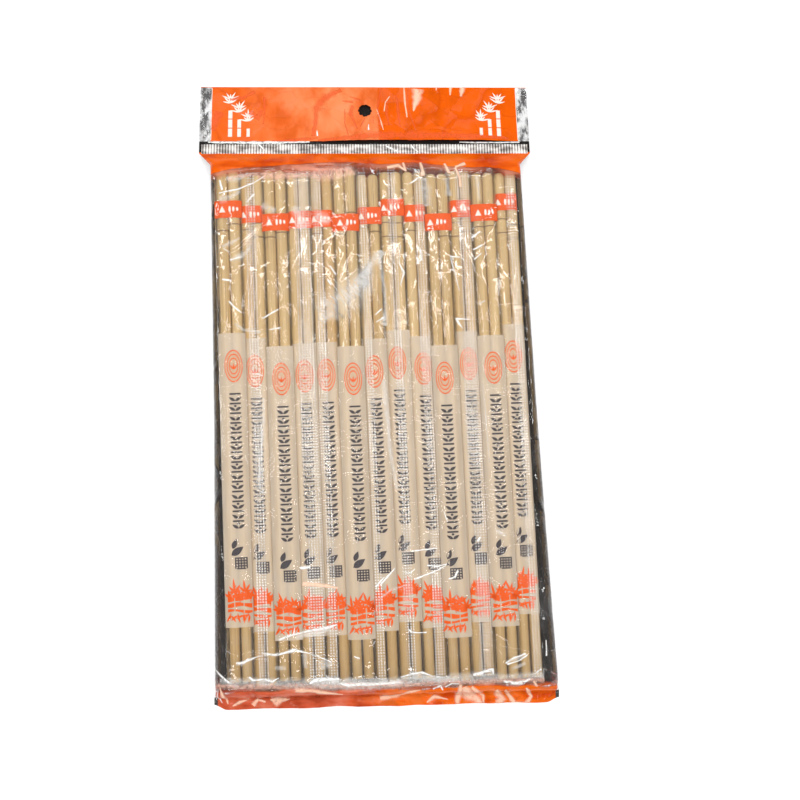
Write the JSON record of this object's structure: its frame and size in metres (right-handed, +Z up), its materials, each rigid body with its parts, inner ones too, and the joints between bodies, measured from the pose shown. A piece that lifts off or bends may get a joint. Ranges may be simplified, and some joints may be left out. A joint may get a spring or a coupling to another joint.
{
  "type": "pack of wrapped bamboo chopsticks",
  "caption": "Disposable round bamboo chopsticks, each pair in a clear printed film sleeve, lying in a see-through pouch with an orange header strip and a hang hole.",
  "frame": {"origin": "centre of the pack's outline on the surface that it lies on", "axes": "+Z up through the pack's thickness, +Y along the sticks towards the header strip, +X to the right as seen from above"},
  "size_m": [0.1614, 0.2877, 0.0134],
  "materials": {
    "bamboo": "plain sanded bamboo with fine lengthways fibres, no lacquer",
    "sleeve_film": "thin clear film with a frosted printed panel and an orange tear strip",
    "pouch_film": "clear crinkled glossy film, printed orange at the head and foot, smoky at the side margins",
    "header_film": "glossy film printed orange, with clear side margins"
  },
  "bodies": {
    "root": {"pair_01_left_chopstick": "bamboo", "pair_01_right_chopstick": "bamboo", "pair_01_sleeve": "sleeve_film", "pair_02_left_chopstick": "bamboo", "pair_02_right_chopstick": "bamboo", "pair_02_sleeve": "sleeve_film", "pair_03_left_chopstick": "bamboo", "pair_03_right_chopstick": "bamboo", "pair_03_sleeve": "sleeve_film", "pair_04_left_chopstick": "bamboo", "pair_04_right_chopstick": "bamboo", "pair_04_sleeve": "sleeve_film", "pair_05_left_chopstick": "bamboo", "pair_05_right_chopstick": "bamboo", "pair_05_sleeve": "sleeve_film", "pair_06_left_chopstick": "bamboo", "pair_06_right_chopstick": "bamboo", "pair_06_sleeve": "sleeve_film", "pair_07_left_chopstick": "bamboo", "pair_07_right_chopstick": "bamboo", "pair_07_sleeve": "sleeve_film", "pair_08_left_chopstick": "bamboo", "pair_08_right_chopstick": "bamboo", "pair_08_sleeve": "sleeve_film", "pair_09_left_chopstick": "bamboo", "pair_09_right_chopstick": "bamboo", "pair_09_sleeve": "sleeve_film", "pair_10_left_chopstick": "bamboo", "pair_10_right_chopstick": "bamboo", "pair_10_sleeve": "sleeve_film", "pair_11_left_chopstick": "bamboo", "pair_11_right_chopstick": "bamboo", "pair_11_sleeve": "sleeve_film", "pair_12_left_chopstick": "bamboo", "pair_12_right_chopstick": "bamboo", "pair_12_sleeve": "sleeve_film", "pair_13_left_chopstick": "bamboo", "pair_13_right_chopstick": "bamboo", "pair_13_sleeve": "sleeve_film", "back_row_chopsticks": "bamboo", "back_row_sleeves": "sleeve_film", "pouch": "pouch_film", "header_strip": "header_film"}
  },
  "joints": []
}
